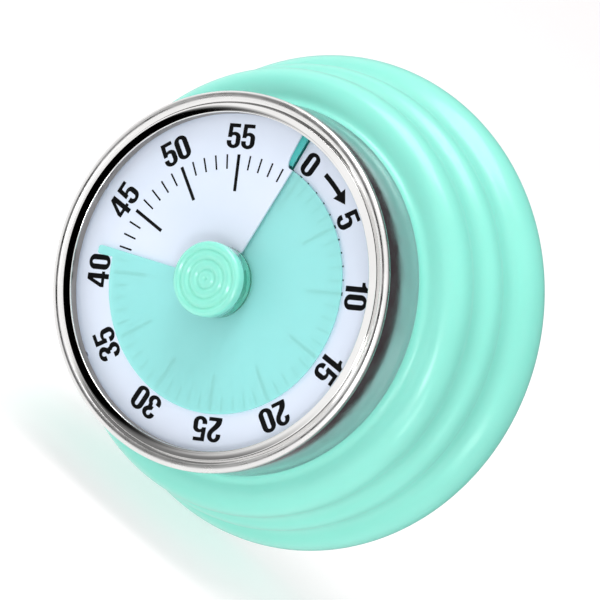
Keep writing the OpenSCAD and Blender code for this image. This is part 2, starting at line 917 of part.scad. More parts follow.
// An open cup, domed at its closed end
module bell() {
    r = bell_d / 2;
    color(steel) upright() translate([bell_at[0], bell_at[1], bell_z]) rotate_extrude() {
        difference() {
            union() {
                square([r - bell_bend_r, bell_bend_r]);
                translate([0, bell_bend_r]) square([r, bell_h - bell_bend_r]);
                translate([r - bell_bend_r, bell_bend_r]) circle(r = bell_bend_r);
            }
            translate([0, bell_t]) square([r - bell_bend_r, bell_h]);
            translate([0, bell_bend_r]) square([r - bell_t, bell_h]);
            translate([r - bell_bend_r, bell_bend_r]) circle(r = bell_bend_r - bell_t);
            translate([0, -1]) square([bell_pin_d / 2, 3]);
        }
    }
}

module bell_post() {
    color(steel) upright() translate(bell_at) difference() {
        union() {
            rod(bell_post_d, bell_z + bell_t, rear_plate_z);
            rod(bell_pin_d, rear_plate_z, plate_floor);
        }
        rod(bell_thread_d, bell_z, bell_z + bell_t + bell_thread_len + 0.2);
    }
}

module bell_screw() {
    color(steel) upright() translate(bell_at) {
        difference() {
            rod(bell_head_d, bell_z - bell_head_t, bell_z);
            translate([0, 0, bell_z - bell_head_t]) {
                cube([bell_head_d * 0.77, bell_head_d * 0.14, bell_head_t], center = true);
            }
        }
        rod(bell_pin_d, bell_z, bell_z + bell_t);
        rod(bell_thread_d, bell_z + bell_t, bell_z + bell_t + bell_thread_len);
    }
}

module hammer_arbor() {
    color(steel) upright() translate(hammer_at) {
        rod(thin_arbor_d, hammer_z - 0.6, front_plate_z - end_play);
        rod(pivot_d, hammer_z, front_plate_top - end_play);
    }
}

module hammer_lever() {
    color(steel) upright() difference() {
        union() {
            bar(hammer_at, hammer_to, hammer_w, hammer_z, hammer_z + hammer_t);
            translate(hammer_at) rod(hammer_hub_d, hammer_z, hammer_z + 1.6 * hammer_t);
        }
        translate(hammer_at) rod(thin_arbor_d, hammer_z - 1, hammer_z + 3);
        translate(hammer_to) rod(hammer_pin_d, hammer_z - 1, hammer_z + 3);
    }
}

module hammer_head() {
    color(brass) upright() translate(hammer_to) {
        rod(hammer_pin_d, hammer_z, hammer_z + hammer_t);
        rod(2 * hammer_head_r, hammer_z + hammer_t, hammer_z + 3 * hammer_t);
    }
}

module release_tail() {
    z = cam_z + (cam_t - hammer_t) / 2;
    color(steel) upright() difference() {
        union() {
            bar(hammer_at, tail_to, 2 * tail_tip_r, z, z + hammer_t);
            translate(hammer_at) rod(hammer_hub_d, z, z + hammer_t);
        }
        translate(hammer_at) rod(thin_arbor_d, z - 1, z + 2);
    }
}

// A wire coil round the hammer's arbor
module hammer_spring() {
    sides = 6;
    rings = coil_turns * 16;
    rise = 2.4;
    points = [
        for (i = [0:rings], k = [0:sides - 1])
            let (a = 360 * coil_turns * i / rings)
            let (r = coil_r + coil_wire_r * cos(k * 360 / sides))
            [r * cos(a), r * sin(a), rise * i / rings + coil_wire_r * sin(k * 360 / sides)]
    ];
    skin = [
        for (i = [0:rings - 1], k = [0:sides - 1])
            let (a = sides * i + k)
            let (b = sides * i + (k + 1) % sides)
            for (f = [[a, b, a + sides], [b, b + sides, a + sides]]) f
    ];
    first_end = [for (k = [sides - 1:-1:0]) k];
    last_end = [for (k = [0:sides - 1]) sides * rings + k];
    color(dark_steel) upright() translate([hammer_at[0], hammer_at[1], plate_floor + 1]) {
        polyhedron(points, concat(skin, [first_end, last_end]));
    }
}

body_shell();
back_cover();
grip_ring();
magnets();
cover_screws();
steel_band();
bezel_ring();
dial_carrier();
dial_plate();
dial_rivets();
front_plate();
rear_plate();
plate_pillars();
pillar_nuts();
movement_screws();
spring_post();
mainspring();
bell();
bell_post();
bell_screw();
knob_cap();
knob_barrel();
main_arbor();
great_wheel();
clutch_spring();
release_cam();
film_hub();
time_film();
second_arbor();
second_wheel();
third_arbor();
third_wheel();
escape_arbor();
escape_wheel();
pallet_arbor();
pallet_lever();
pallet_pins();
hammer_arbor();
hammer_lever();
hammer_head();
release_tail();
hammer_spring();
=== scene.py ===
import json
import math

import bmesh
import bpy
import numpy as np
from mathutils import Matrix, Vector


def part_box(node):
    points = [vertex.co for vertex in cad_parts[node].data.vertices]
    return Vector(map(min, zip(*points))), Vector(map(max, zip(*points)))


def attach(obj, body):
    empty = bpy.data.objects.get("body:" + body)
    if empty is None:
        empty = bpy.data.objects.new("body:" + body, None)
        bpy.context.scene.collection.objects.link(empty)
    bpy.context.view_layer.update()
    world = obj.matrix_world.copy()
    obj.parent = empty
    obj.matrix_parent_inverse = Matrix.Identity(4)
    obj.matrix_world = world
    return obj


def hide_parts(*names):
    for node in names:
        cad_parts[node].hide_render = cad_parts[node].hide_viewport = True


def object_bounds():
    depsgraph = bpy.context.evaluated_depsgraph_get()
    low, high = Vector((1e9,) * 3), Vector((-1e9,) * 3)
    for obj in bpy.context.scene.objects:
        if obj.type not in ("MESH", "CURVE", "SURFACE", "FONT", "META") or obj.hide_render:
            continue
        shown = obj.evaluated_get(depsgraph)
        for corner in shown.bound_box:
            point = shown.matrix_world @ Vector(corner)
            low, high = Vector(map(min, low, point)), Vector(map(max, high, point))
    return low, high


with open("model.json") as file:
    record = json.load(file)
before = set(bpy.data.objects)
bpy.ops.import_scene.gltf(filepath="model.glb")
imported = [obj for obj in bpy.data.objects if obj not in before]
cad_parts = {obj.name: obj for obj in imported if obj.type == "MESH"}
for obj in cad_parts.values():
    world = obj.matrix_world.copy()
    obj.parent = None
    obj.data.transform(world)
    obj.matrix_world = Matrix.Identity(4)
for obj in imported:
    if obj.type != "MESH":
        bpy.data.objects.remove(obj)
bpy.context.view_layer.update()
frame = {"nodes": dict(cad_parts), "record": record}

# %% [markdown]
# # A wind-up kitchen timer
# The timer is a ribbed plastic body with a magnetic back, a steel drum let into its front, and a
# dial with a disc of clear film that shrinks as the time runs out. The movement behind the dial
# comes ready from the CAD frame. What the eye meets first is made again here, because a moulded
# wave or a rolled steel rim needs a finer surface than the CAD mesh has.
#
# Everything is in metres. The timer's back stands on the plane y = 0 and its dial faces -Y. Lengths
# below are written in millimetres and multiplied by MM once, where the mesh is made.

# %% Scene settings and the levels that come from the frame
scene = bpy.context.scene
scene.view_settings.view_transform = "Standard"
MM = 0.001


def level(node, side):
    """Height of a node above the back face in mm: side 0 is its front end, side 1 its back end."""
    return -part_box(node)[side][1] / MM


def radius(node):
    """Largest radius of a node about the dial's axis, in mm, from half the width of its box."""
    low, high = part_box(node)
    return (high[0] - low[0]) / 2 / MM


BODY_R = radius("body_shell")
BAND_R = radius("steel_band")
BAND_FROM, BAND_TO = level("steel_band", 1), level("steel_band", 0)
RIM_R = radius("bezel_ring")
RIM_FRONT = level("bezel_ring", 0)
DIAL_R = radius("dial_plate")
CAP_R = radius("knob_cap")
CAP_TOP = level("knob_cap", 0)
BARREL_R = radius("knob_barrel")
BARREL_FROM, BARREL_TO = level("knob_barrel", 1), level("knob_barrel", 0)
print("body radius %.2f, band %.2f to %.2f, rim front %.2f, cap front %.2f mm"
      % (BODY_R, BAND_FROM, BAND_TO, RIM_FRONT, CAP_TOP))

# %% [markdown]
# ## Meshes from whole arrays
# Most pieces are turned on a lathe or stamped from sheet, so two helpers make nearly all of them.
# Both work out every vertex as one array. A mesh keeps its faces as a flat list of corners, which
# `foreach_set` fills in one call, and that is far quicker than adding faces one by one.

# %% A mesh from vertices, four-sided faces and three-sided faces
def solid_mesh(name, verts, quads, tris=None):
    """Makes an object from arrays. The signed volume, a sixth of the sum of a . (b x c) over the
    triangles, is negative when the faces look inwards, and then every face is turned round."""
    tris = np.zeros((0, 3), int) if tris is None else np.asarray(tris, int)
    quads = np.asarray(quads, int).reshape(-1, 4)
    fan = np.vstack([quads[:, [0, 1, 2]], quads[:, [0, 2, 3]], tris])
    a, b, c = verts[fan[:, 0]], verts[fan[:, 1]], verts[fan[:, 2]]
    if np.einsum("ij,ij->i", a, np.cross(b, c)).sum() < 0:
        quads, tris = quads[:, ::-1], tris[:, ::-1]
    mesh = bpy.data.meshes.new(name)
    corners = np.concatenate([quads.ravel(), tris.ravel()])
    sizes = np.concatenate([np.full(len(quads), 4), np.full(len(tris), 3)])
    mesh.vertices.add(len(verts))
    mesh.vertices.foreach_set("co", np.ascontiguousarray(verts * MM).ravel())
    mesh.loops.add(len(corners))
    mesh.loops.foreach_set("vertex_index", corners)
    mesh.polygons.add(len(sizes))
    mesh.polygons.foreach_set("loop_start", np.concatenate([[0], np.cumsum(sizes)[:-1]]))
    mesh.update(calc_edges=True)
    mesh.validate()
    piece = bpy.data.objects.new(name, mesh)
    scene.collection.objects.link(piece)
    return piece


def grid_quads(index):
    """The four-sided faces of a grid whose vertices are numbered by `index`."""
    corners = [index[:-1, :-1], index[:-1, 1:], index[1:, 1:], index[1:, :-1]]
    return np.stack(corners, -1).reshape(-1, 4)


def shade(piece, angle=35):
    """Smooth shading that keeps an edge sharp where its two faces meet at more than the angle."""
    piece.data.polygons.foreach_set("use_smooth", np.ones(len(piece.data.polygons), bool))
    work = bmesh.new()
    work.from_mesh(piece.data)
    for edge in work.edges:
        edge.smooth = len(edge.link_faces) == 2 and edge.calc_face_angle(0) < math.radians(angle)
    work.to_mesh(piece.data)
    work.free()
    return piece


# %% [markdown]
# ## Place on the dial
# A timer is read in turns: degrees clockwise from the 0 mark, as seen from the front. A point has a
# turn, a radius, and a height above the back face, and one function takes all three to x, y and z.

# %% From turn, radius and height to a point
def place(turn, r, h):
    """x is r times the sine of the turn, z is r times its cosine, and y is minus the height."""
    turn = np.radians(turn)
    return np.stack(np.broadcast_arrays(r * np.sin(turn), -h, r * np.cos(turn)), axis=-1)


def arc(centre, r, start, end, steps):
    """Points on a circle in the (radius, height) plane, from one angle to another in degrees."""
    a = np.radians(np.linspace(start, end, steps))
    return np.stack([centre[0] + r * np.cos(a), centre[1] + r * np.sin(a)], axis=1)


def turned(name, profile, steps):
    """A lathe: the closed profile of (radius, height) is carried once round the axis. A profile
    that starts and ends on the axis gets one vertex at each end, and triangles round it."""
    profile = np.asarray(profile, float)
    turns = np.arange(steps) * 360 / steps
    poles = profile[0, 0] < 1e-9
    ring = profile[1:-1] if poles else profile
    rows = len(ring)
    verts = place(turns[None, :], ring[:, :1], ring[:, 1:2]).reshape(-1, 3)
    k = np.arange(steps)
    after = (k + 1) % steps
    i = np.arange(rows - 1 if poles else rows)[:, None]
    j = (i + 1) % rows
    quads = np.stack(np.broadcast_arrays(i * steps + k, i * steps + after,
                                         j * steps + after, j * steps + k), -1)
    tris = None
    if poles:
        ends = place(np.zeros(2), np.zeros(2), profile[[0, -1], 1])
        first, last = len(verts), len(verts) + 1
        verts = np.vstack([verts, ends])
        low = np.stack([np.full(steps, first), after, k], 1)
        top = (rows - 1) * steps
        high = np.stack([np.full(steps, last), top + k, top + after], 1)
        tris = np.vstack([low, high])
    return shade(solid_mesh(name, verts, quads.reshape(-1, 4), tris))


def tube_section(outer, inner, low, high, edge, steps):
    """Section of a straight tube: four arcs of the edge's radius, one at each corner."""
    return np.vstack([
        arc((outer - edge, low + edge), edge, -90, 0, steps),
        arc((outer - edge, high - edge), edge, 0, 90, steps),
        arc((inner + edge, high - edge), edge, 90, 180, steps),
        arc((inner + edge, low + edge), edge, 180, 270, steps),
    ])


print("the 0 mark at the rim is at", np.round(place(0.0, RIM_R, RIM_FRONT), 2))

# %% [markdown]
# ## Colours and grain
# No moulded or pressed surface is one flat colour. Each material starts from the colour of the
# piece and adds what its making leaves: slow drifts of shade, a fine grain in the roughness, and a
# bump so small that it only breaks up the reflections. Noise is read from Object coordinates, so a
# pattern stays on its piece when the piece moves.

# %% Helpers for node materials
def linear(r, g, b):
    """Turns a screen colour of 0 to 255 into linear light, by the sRGB curve."""
    c = np.array([r, g, b]) / 255
    return (*np.where(c <= 0.04045, c / 12.92, ((c + 0.055) / 1.055) ** 2.4), 1.0)


def new_material(name, colour, rough, metallic=0.0):
    """A material with its Principled shader set, and handles to add detail to it."""
    material = bpy.data.materials.new(name)
    material.use_nodes = True
    shader = material.node_tree.nodes["Principled BSDF"]
    shader.inputs["Base Color"].default_value = colour
    shader.inputs["Roughness"].default_value = rough
    shader.inputs["Metallic"].default_value = metallic
    material.diffuse_color = colour
    return material, material.node_tree, shader


def noise(tree, scale, detail, stretch=(1, 1, 1)):
    """A noise texture on Object coordinates, stretched by a Mapping node."""
    where = tree.nodes.new("ShaderNodeTexCoord")
    mapping = tree.nodes.new("ShaderNodeMapping")
    mapping.inputs["Scale"].default_value = stretch
    texture = tree.nodes.new("ShaderNodeTexNoise")
    texture.inputs["Scale"].default_value = scale
    texture.inputs["Detail"].default_value = detail
    tree.links.new(where.outputs["Object"], mapping.inputs["Vector"])
    tree.links.new(mapping.outputs["Vector"], texture.inputs["Vector"])
    return texture.outputs["Fac"]


def spread(tree, value, low, high):
    """Maps the middle of a noise, 0.3 to 0.7, onto the range from low to high, because a noise
    seldom leaves that middle."""
    node = tree.nodes.new("ShaderNodeMapRange")
    node.inputs["From Min"].default_value = 0.3
    node.inputs["From Max"].default_value = 0.7
    node.inputs["To Min"].default_value = low
    node.inputs["To Max"].default_value = high
    tree.links.new(value, node.inputs["Value"])
    return node.outputs["Result"]


def tint(tree, shader, value, dark, light):
    """Drives the base colour from a noise, between two close shades."""
    mix = tree.nodes.new("ShaderNodeMix")
    mix.data_type = "RGBA"
    mix.inputs["A"].default_value = dark
    mix.inputs["B"].default_value = light
    tree.links.new(spread(tree, value, 0, 1), mix.inputs["Factor"])
    tree.links.new(mix.outputs["Result"], shader.inputs["Base Color"])


def roughen(tree, shader, value, low, high):
    """Drives the roughness from a noise."""
    tree.links.new(spread(tree, value, low, high), shader.inputs["Roughness"])


def grain(tree, shader, value, height, strength):
    """A bump of so many millimetres, made from a noise."""
    bump = tree.nodes.new("ShaderNodeBump")
    bump.inputs["Strength"].default_value = strength
    bump.inputs["Distance"].default_value = height * MM
    tree.links.new(value, bump.inputs["Height"])
    tree.links.new(bump.outputs["Normal"], shader.inputs["Normal"])


def shades(rgb, span):
    """Two screen colours, a little darker and a little lighter than the one given."""
    return linear(*[max(0, c - span) for c in rgb]), linear(*[min(255, c + span) for c in rgb])


# %% [markdown]
# ## The moulded body
# The body is one moulding in ABS with three round waves that widen towards the back. Sculpting or
# lofting could make it, but each wave is really a circle in section, with another circle rolled
# into the groove between two waves. So the section is worked out from circles that touch, and the
# lathe turns it. The centres come from the same proportions as the frame's body.

# %% The waves and grooves of the body's section
BODY_H = BAND_FROM
FOOT, FOOT_EDGE = 0.3, 0.3
NECK_R = BAND_R + 0.1
swell = BODY_R - BAND_R
# For each wave, from the back to the front: radius of its circle, crest, height of its centre
WAVE_R = 0.191 * BODY_H, 0.117 * BODY_H, 0.151 * BODY_H
CREST = BODY_R, BAND_R + 0.74 * swell, BAND_R + 0.577 * swell
WAVE_H = FOOT + WAVE_R[0], 0.54 * BODY_H, 0.8 * BODY_H
WAVES = [(np.array([crest - r, h]), r) for r, crest, h in zip(WAVE_R, CREST, WAVE_H)]
GROOVE_R = 4.0
# Radius and height of the spigot that the band sits on, and of the hollow's corners
SPIGOT_R, SPIGOT_H, SPIGOT_EDGE = 31.7, 34.6, 0.2
HOLLOW = [(29.6, SPIGOT_H), (29.6, 28.9), (36.3, 24.6), (36.3, 20.0), (38.1, 16.4), (38.1, 12.3),
          (41.5, 7.0), (41.5, 5.4), (37.2, 2.9)]


def between(p, rp, q, rq, r):
    """Centre of a circle of radius r that touches two others from outside: it lies where circles
    of radius rp + r and rq + r round their centres cross, on the side away from the axis."""
    d = np.linalg.norm(q - p)
    u = (q - p) / d
    along = ((rp + r) ** 2 - (rq + r) ** 2 + d * d) / (2 * d)
    out = math.sqrt((rp + r) ** 2 - along ** 2)
    return p + u * along + out * np.array([u[1], -u[0]])


def heading(p, q):
    """Angle of the line from p to q, in degrees."""
    return math.degrees(math.atan2(q[1] - p[1], q[0] - p[0]))


def body_section():
    """The outside, wave by wave, then the spigot, then the hollow back to the opening. The neck is
    an arc that touches the front wave and meets the band upright. With the wave's centre `rise`
    below the band and `inset` inside the neck, the neck's radius is
    (rise^2 + inset^2 - r^2) / (2 (r - inset)), where r is the wave's."""
    (c1, r1), (c2, r2), (c3, r3) = WAVES
    g1 = between(c1, r1, c2, r2, GROOVE_R)
    g2 = between(c2, r2, c3, r3, GROOVE_R)
    rise, inset = BODY_H - c3[1], NECK_R - c3[0]
    neck_r = (rise ** 2 + inset ** 2 - r3 ** 2) / (2 * (r3 - inset))
    neck = np.array([NECK_R + neck_r, BODY_H])
    return np.vstack([
        arc((HOLLOW[-1][0] + FOOT_EDGE, FOOT + FOOT_EDGE), FOOT_EDGE, 180, 270, 4),
        arc(c1, r1, -90, heading(c1, g1), 26),
        arc(g1, GROOVE_R, heading(g1, c1), heading(g1, c2) - 360, 12)[1:-1],
        arc(c2, r2, heading(c2, g1), heading(c2, g2), 14),
        arc(g2, GROOVE_R, heading(g2, c2), heading(g2, c3) - 360, 12)[1:-1],
        arc(c3, r3, heading(c3, g2), heading(c3, neck), 22),
        arc(neck, neck_r, heading(neck, c3) + 360, 180, 10)[1:],
        [(SPIGOT_R, BODY_H)],
        arc((SPIGOT_R - SPIGOT_EDGE, SPIGOT_H - SPIGOT_EDGE), SPIGOT_EDGE, 0, 90, 3), HOLLOW,
    ])


section = body_section()
print("body section: %d points, radius %.2f to %.2f mm"
      % (len(section), section[:, 0].min(), section[:, 0].max()))
body = turned("body_moulding", section, steps=256)
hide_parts("body_shell")
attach(body, "case")

# %% [markdown]
# ## Mint plastic
# The body is a pale mint ABS with a satin face. Light goes a little way into such plastic, so a
# touch of subsurface scattering softens the grooves, and a thin clear coat gives the soft highlight
# on each crest. The noise is faint: a slow drift of shade, and the orange-peel that a mould leaves.

# %% Mint plastic for the body
MINT = (139, 228, 211)


def mint_plastic(name, rgb, rough=0.34, coat=0.25):
    """Satin ABS: two close shades, scattering under the skin, orange-peel of a few microns."""
    material, tree, shader = new_material(name, linear(*rgb), rough)
    shader.inputs["Subsurface Weight"].default_value = 0.25
    shader.inputs["Subsurface Radius"].default_value = (0.0012, 0.0024, 0.0022)
    shader.inputs["Subsurface Scale"].default_value = 1.0
    shader.inputs["Coat Weight"].default_value = coat
    shader.inputs["Coat Roughness"].default_value = 0.18
    tint(tree, shader, noise(tree, 55, 2), *shades(rgb, 2))
    roughen(tree, shader, noise(tree, 420, 3), rough - 0.04, rough + 0.05)
    grain(tree, shader, noise(tree, 900, 2), 0.02, 0.25)
    return material


mint = mint_plastic("mint plastic", MINT)
body.data.materials.append(mint)
print("mint plastic in linear light:", np.round(linear(*MINT), 3))

# %% [markdown]
# ## The steel drum and the rolled rim
# The drum is a band of stainless strip. The bezel is spun from the same sheet: its edge is rolled
# over into a round bead, a narrow groove parts the bead from a slightly dished face, and the inner
# wall drops down to the dial. A bevelled cylinder would lose the bead, so the section is drawn with
# its true arcs and turned.

# %% The band and the bezel
BAND_WALL, STRIP_EDGE = 0.5, 0.12
VIEW_R = RIM_R - 3.7
BEAD_R = 0.9
BEAD = np.array([RIM_R - BEAD_R, RIM_FRONT - BEAD_R])
GROOVE_H = BEAD[1] + 0.42
FACE_R, FACE_H, DISH = RIM_R - 2.1, RIM_FRONT - 0.13, 0.25
WALL_FOOT, WALL_EDGE = RIM_FRONT - 2.35, 0.22
SKIRT_R, SKIRT_FOOT = BAND_R - 0.6, WALL_FOOT - 3.4


def bezel_section():
    """Up the skirt, over the bead into the groove, along the dished face (a parabola from its outer
    edge down to its inner one), over the rounded edge, down the inner wall and back underneath."""
    fillet, wall, under = 0.1, 0.55, GROOVE_H - 0.4
    skirt_inner = SKIRT_R - 0.45
    r = np.linspace(FACE_R - STRIP_EDGE, VIEW_R + WALL_EDGE + fillet, 14)
    dip = DISH * (1 - ((r - VIEW_R) / (FACE_R - VIEW_R)) ** 2)
    return np.vstack([
        [(SKIRT_R, SKIRT_FOOT), (SKIRT_R, BAND_TO + 0.02)],
        arc(BEAD, BEAD_R, -33, 134, 32),
        arc((FACE_R + 0.14, GROOVE_H + fillet), fillet, 250, 190, 4),
        arc((FACE_R - STRIP_EDGE, FACE_H - STRIP_EDGE), STRIP_EDGE, 0, 80, 5),
        np.stack([r, FACE_H - dip], 1)[1:],
        arc((VIEW_R + WALL_EDGE, FACE_H - DISH - WALL_EDGE), WALL_EDGE, 80, 180, 7),
        arc((VIEW_R + STRIP_EDGE, WALL_FOOT + STRIP_EDGE), STRIP_EDGE, 180, 270, 4),
        [(VIEW_R + wall, WALL_FOOT), (VIEW_R + wall, under),
         (skirt_inner, under), (skirt_inner, SKIRT_FOOT)],
    ])


band_profile = tube_section(BAND_R, BAND_R - BAND_WALL, BAND_FROM, BAND_TO, STRIP_EDGE, 4)
band = turned("steel_drum", band_profile, steps=256)
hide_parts("steel_band")
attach(band, "case")
bezel = turned("rolled_bezel", bezel_section(), steps=256)
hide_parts("bezel_ring")
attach(bezel, "case")
print("bead of %.1f mm, opening of %.1f mm" % (2 * BEAD_R, 2 * VIEW_R))

# %% [markdown]
# ## Polished steel
# Spun stainless is nearly a mirror. What tells it from chrome is a very fine brushing that runs
# round the part, because it is polished while it turns. Noise that is squeezed along the axis and
# left long the other way would streak in the wrong direction on a ring, so the brushing is a wave
# texture in rings about the axis with a little noise in it.

# %% Metals in general, and steel polished on the lathe
def metal(name, rgb, rough, drift=4, scratch=0.006, scale=260):
    """A metal with two close shades `drift` apart, an uneven polish, and hair-fine scratches that
    are so many millimetres deep. `scale` sets how fine the patterns are."""
    material, tree, shader = new_material(name, linear(*rgb), rough, 1.0)
    tint(tree, shader, noise(tree, 90, 3), *shades(rgb, drift))
    roughen(tree, shader, noise(tree, scale, 4), rough * 0.75, rough * 1.35)
    grain(tree, shader, noise(tree, scale * 3, 3, (1, 9, 1)), scratch, 0.35)
    return material


def drum_steel(name, rough, rgb=(229, 228, 227)):
    """Steel polished on the lathe: rings about the dial's axis, broken up by noise."""
    material, tree, shader = new_material(name, linear(*rgb), rough, 1.0)
    where = tree.nodes.new("ShaderNodeTexCoord")
    rings = tree.nodes.new("ShaderNodeTexWave")
    rings.wave_type = "RINGS"
    rings.rings_direction = "Y"
    rings.inputs["Scale"].default_value = 900
    rings.inputs["Distortion"].default_value = 1.5
    rings.inputs["Detail"].default_value = 2
    tree.links.new(where.outputs["Object"], rings.inputs["Vector"])
    tint(tree, shader, noise(tree, 70, 3), *shades(rgb, 4))
    roughen(tree, shader, noise(tree, 300, 4), rough * 0.7, rough * 1.3)
    grain(tree, shader, rings.outputs["Fac"], 0.002, 0.2)
    return material


# The band's steel leans to pink, which offsets some of the mint that it mirrors
band.data.materials.append(drum_steel("satin steel", 0.2, (208, 184, 193)))
# The face is the glossiest and the bead worn to satin; the inner wall is unpolished and painted
# darker, as shade
bezel.data.materials.append(drum_steel("polished steel", 0.05))
bezel.data.materials.append(drum_steel("satin bead", 0.3))
# The inner wall's darker, browner steel is painted shade; its higher roughness is the unpolished
# finish
bezel.data.materials.append(metal("inner wall steel, painted shade", (158, 150, 143), 0.36))
centre = np.empty(3 * len(bezel.data.polygons))
bezel.data.polygons.foreach_get("center", centre)
centre = centre.reshape(-1, 3) / MM
centre_r, centre_h = np.hypot(centre[:, 0], centre[:, 2]), -centre[:, 1]
mid_groove, wall_skin, wall_top = FACE_R + 0.45, VIEW_R + 0.1, FACE_H - DISH - 0.2
on_bead = centre_r > mid_groove
on_wall = (centre_r < wall_skin) & (centre_h < wall_top)
bezel.data.polygons.foreach_set("material_index", (on_bead + 2 * on_wall).astype(np.int32))
print("%d faces on the bead, %d on the inner wall" % (on_bead.sum(), on_wall.sum()))

# %% [markdown]
# ## The dial
# The dial is a thin white sheet, cut from the rim towards the middle just before the 0 and then
# along the ring of numbers. The film passes up through that cut, so the sheet climbs like a spiral
# stair: its end stands one pitch higher than its start. Its inner part also dips a little where the
# film comes out. All of that is a height for each turn and radius, so one grid of turns and radii
# makes the whole sheet, with a top, a bottom and four edges.

# %% The stair and the sheet
PITCH = 1.45
SHEET, FILM_SHEET, FILM_LIFT = 0.4, 0.25, 0.4
FILM_R = VIEW_R - 6.4
CUT_R = FILM_R + 0.1
HOLE_R = 5.3
# A radius on the ring of numbers, outside the cut, where the dial has no dip
ON_RING = 30.0
RING_FROM, RING_TO, LAP = -3.4, 354.1, 358.0
CORNER_TURN, CORNER_R = 2.2, 2.4
DIP, DIP_TO = 0.3, 64.0
DIAL_AT_0 = level("dial_plate", 1) - PITCH * RING_FROM / 360
FILM_AT_0 = DIAL_AT_0 + SHEET + FILM_LIFT


def dial_top(turn, r):
    """Height of the dial's face. It climbs one pitch in a turn, and inside the cut it is lower
    by a dip that fades with half a cosine."""
    climb = DIAL_AT_0 + SHEET + PITCH * turn / 360
    fade = 0.5 + 0.5 * np.cos(np.pi * np.clip(turn / DIP_TO, 0, 1))
    return climb - np.where(r < CUT_R, DIP * fade, 0.0)


def sheet(name, turns, radii, top, thick):
    """A closed sheet: the top grid, the same grid lower by the thickness, and a wall round both."""
    m, n = radii.shape
    upper = place(turns, radii, top).reshape(-1, 3)
    lower = place(turns, radii, top - thick).reshape(-1, 3)
    index = np.arange(m * n).reshape(m, n)
    face = grid_quads(index)
    border = np.concatenate([index[0, :-1], index[:-1, -1], index[-1, :0:-1], index[:0:-1, 0]])
    ahead = np.roll(border, -1)
    wall = np.stack([border, border + m * n, ahead + m * n, ahead], 1)
    quads = np.vstack([face, face[:, ::-1] + m * n, wall])
    return shade(solid_mesh(name, np.vstack([upper, lower]), quads), 25)


def dial_outline(turns):
    """Outer radius at each turn: the full dial, then the slot's far side, rounded into the lap."""
    past = np.clip((turns - RING_TO) / CORNER_TURN, 0, 1)
    corner = CORNER_R * (1 - np.sqrt(1 - (1 - past) ** 2))
    return np.where(turns <= RING_TO, DIAL_R, CUT_R + corner)


dial_turns = np.concatenate([np.arange(RING_FROM, RING_TO - 0.5, 1.0), [RING_TO],
                             np.linspace(RING_TO + 0.02, LAP, 22)])
out = dial_outline(dial_turns)[:, None]
inside = np.linspace(HOLE_R, CUT_R - 0.02, 13)[None, :] + 0 * out
outside = CUT_R + (np.maximum(out, CUT_R + 0.01) - CUT_R) * np.linspace(0, 1, 6)[None, :]
dial_radii = np.hstack([inside, outside])
grid_turns = dial_turns[:, None] + 0 * dial_radii
dial = sheet("dial_sheet", grid_turns, dial_radii, dial_top(grid_turns, dial_radii), SHEET)
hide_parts("dial_plate")
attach(dial, "case")
print("dial climbs from %.2f to %.2f mm" % (dial_top(0.0, ON_RING), dial_top(360.0, ON_RING)))

# %% [markdown]
# ## The time film
# The film is a second, thinner stair on the knob's hub, so it turns with the knob and screws itself
# through the dial. Its leading edge carries the pointer, a tab that reaches over the numbers.

# %% The film and its pointer
SET_TURN = 250.2
SPAN, TAB, TAB_R, HUB_R = 354.0, 3.6, VIEW_R - 3.3, 4.6
TAB_CORNER_TURN, TAB_CORNER_R = 0.9, 0.7


def film_outline(turns):
    """Outer radius at each turn: the disc, and the tab with two rounded corners."""
    ahead = np.clip((SET_TURN - turns) / TAB_CORNER_TURN, 0, 1)
    behind = np.clip((turns - (SET_TURN - TAB)) / TAB_CORNER_TURN, 0, 1)
    corner = 1.0 - np.sqrt(1 - (1 - np.minimum(ahead, behind)) ** 2)
    return np.where(turns > SET_TURN - TAB, TAB_R - TAB_CORNER_R * corner, FILM_R)


film_turns = np.concatenate([np.arange(SET_TURN - SPAN, SET_TURN - TAB, 1.5), [SET_TURN - TAB],
                             np.linspace(SET_TURN - TAB + 0.02, SET_TURN, 28)])
film_radii = HUB_R + (film_outline(film_turns)[:, None] - HUB_R) * np.linspace(0, 1, 10)[None, :]
grid_turns = film_turns[:, None] + 0 * film_radii
film_top = FILM_AT_0 + FILM_SHEET + PITCH * grid_turns / 360
film = sheet("time_disc", grid_turns, film_radii, film_top, FILM_SHEET)
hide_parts("time_film")
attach(film, "film")
print("film set at %.1f minutes" % (SET_TURN / 6))

# %% [markdown]
# Through the slot one looks down on the plastic seat of the dial, whose teal is the body's mint
# made darker as painted shade. The seat in the frame lies deep in shadow there, so a short step of
# the same plastic is raised under the slot, above which the pointer still passes freely.

# %% The step under the slot
STEP_FROM, STEP_TO, STEP_SHEET, STEP_GAP = 352.0, 356.4, 0.3, 0.05
strip_turns = np.linspace(STEP_FROM, STEP_TO, 8)[:, None] + np.zeros((1, 6))
strip_radii = np.linspace(CUT_R + 0.5, DIAL_R - 0.1, 6)[None, :] + 0 * strip_turns
under_dial = dial_top(strip_turns, ON_RING) - SHEET - STEP_GAP
step = sheet("slot_step", strip_turns, strip_radii, under_dial, STEP_SHEET)
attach(step, "case")
print("step under the slot from turn %.1f to %.1f" % (STEP_FROM, STEP_TO))

# %% [markdown]
# ## White sheet and tinted film
# The dial is white polystyrene, a little blue beside the mint. The film is tinted acetate that
# covers the dial almost completely, with the minute marks just showing through. That is a mix of
# the plastic with a plain Transparent shader: real refraction would do nothing in a sheet so thin.

# %% Materials for the dial and the film
CLEAR = 0.4


def dial_white(name):
    """Matt white sheet with a faint grain."""
    material, tree, shader = new_material(name, linear(220, 231, 247), 0.42)
    tint(tree, shader, noise(tree, 60, 3), linear(217, 229, 245), linear(223, 233, 249))
    roughen(tree, shader, noise(tree, 500, 2), 0.36, 0.48)
    grain(tree, shader, noise(tree, 1500, 2), 0.006, 0.3)
    return material


